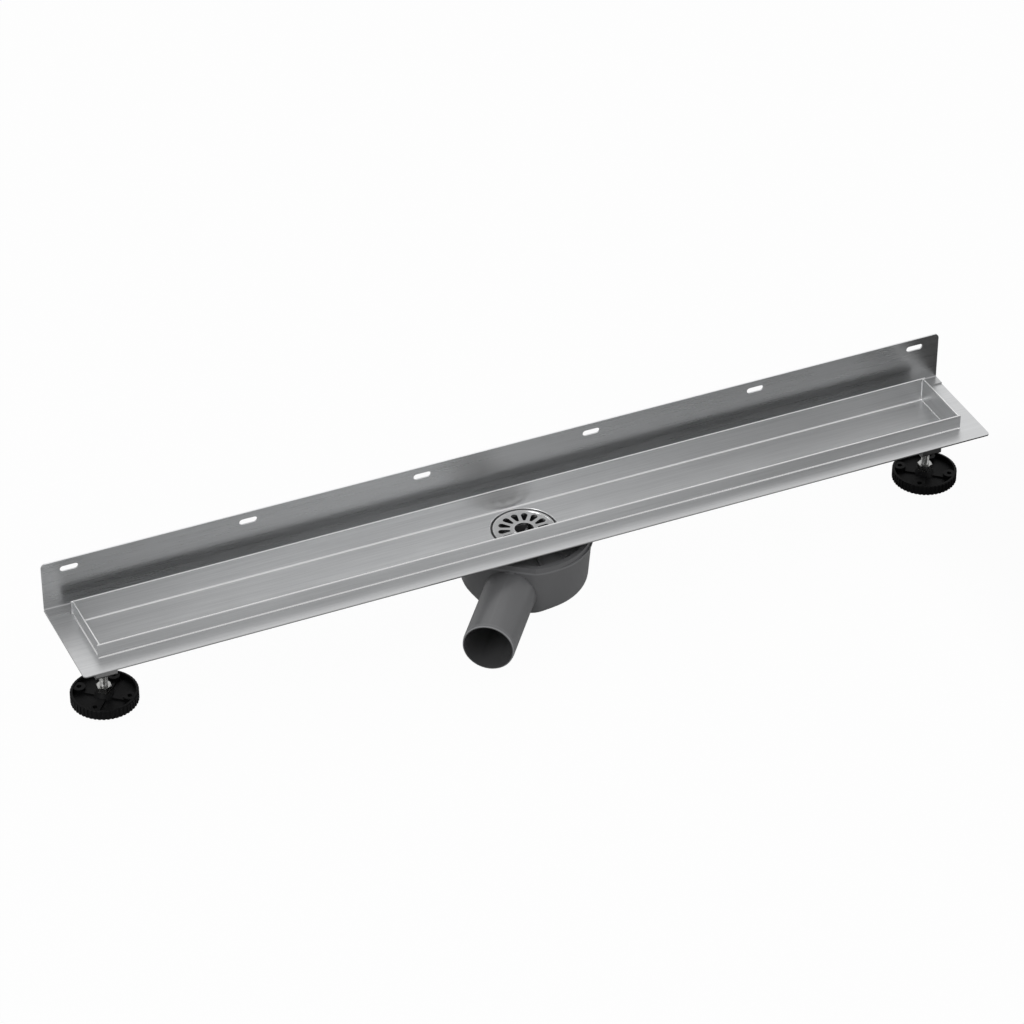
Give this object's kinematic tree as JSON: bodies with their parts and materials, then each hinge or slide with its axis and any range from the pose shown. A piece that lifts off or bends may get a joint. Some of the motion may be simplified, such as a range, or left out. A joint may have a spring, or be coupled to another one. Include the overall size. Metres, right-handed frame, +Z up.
{
  "type": "channel drain",
  "caption": "Linear shower channel of folded steel with a sealing flange, a wall upstand, a turning trap outlet and screw feet.",
  "frame": {"origin": "mid-length of the sealing flange, on the channel's centre line, at the flange's top face", "axes": "+X along the channel to its right end seen from the room, -Y to the room, +Y to the wall, +Z up"},
  "size_m": [0.94, 0.1973, 0.1307],
  "materials": {
    "stainless_sheet": "stainless sheet brushed along the channel",
    "siphon_plastic": "dark grey moulded plastic, matt",
    "rubber": "black rubber seal",
    "foot_plastic": "black moulded plastic",
    "zinc_steel": "bright zinc plated steel"
  },
  "bodies": {
    "tray": {"channel_trough": "stainless_sheet", "end_wall_left": "stainless_sheet", "end_wall_right": "stainless_sheet", "sealing_flange": "stainless_sheet", "wall_upstand": "stainless_sheet", "foot_bracket_left": "stainless_sheet", "foot_bracket_right": "stainless_sheet", "bracket_nut_left": "zinc_steel", "bracket_nut_right": "zinc_steel"},
    "siphon": {"siphon_body": "siphon_plastic", "siphon_cover": "siphon_plastic", "clamp_ring": "siphon_plastic", "outlet_gasket": "rubber", "dip_tube": "siphon_plastic", "trap_cup": "siphon_plastic", "insert_seal": "rubber", "strainer_plate": "stainless_sheet"},
    "left_foot": {"foot_disc_left": "foot_plastic"},
    "left_stud": {"foot_stud_left": "zinc_steel", "foot_hexagon_left": "zinc_steel"},
    "right_foot": {"foot_disc_right": "foot_plastic"},
    "right_stud": {"foot_stud_right": "zinc_steel", "foot_hexagon_right": "zinc_steel"}
  },
  "joints": [
    {"name": "siphon_swivel", "type": "hinge", "parent": "tray", "child": "siphon", "pos_m": [-0.0052, 0, -0.0178], "axis": [0, 0, 1], "continuous": true},
    {"name": "foot_lift_left", "type": "slide", "parent": "tray", "child": "left_foot", "axis": [0, 0, 1], "range_m": [-0.01201, 0.00801]},
    {"name": "stud_turn_left", "type": "hinge", "parent": "left_foot", "child": "left_stud", "pos_m": [-0.4336, 0, -0.0682], "axis": [0, 0, 1], "range_deg": [-3456, 2304]},
    {"name": "foot_lift_right", "type": "slide", "parent": "tray", "child": "right_foot", "axis": [0, 0, 1], "range_m": [-0.01201, 0.00801]},
    {"name": "stud_turn_right", "type": "hinge", "parent": "right_foot", "child": "right_stud", "pos_m": [0.4336, 0, -0.0682], "axis": [0, 0, 1], "range_deg": [-3456, 2304]}
  ],
  "couplings": [
    {"joint": "foot_lift_left", "follows": "stud_turn_left", "m_per_rad": 0.00019894},
    {"joint": "foot_lift_right", "follows": "stud_turn_right", "m_per_rad": 0.00019894}
  ]
}
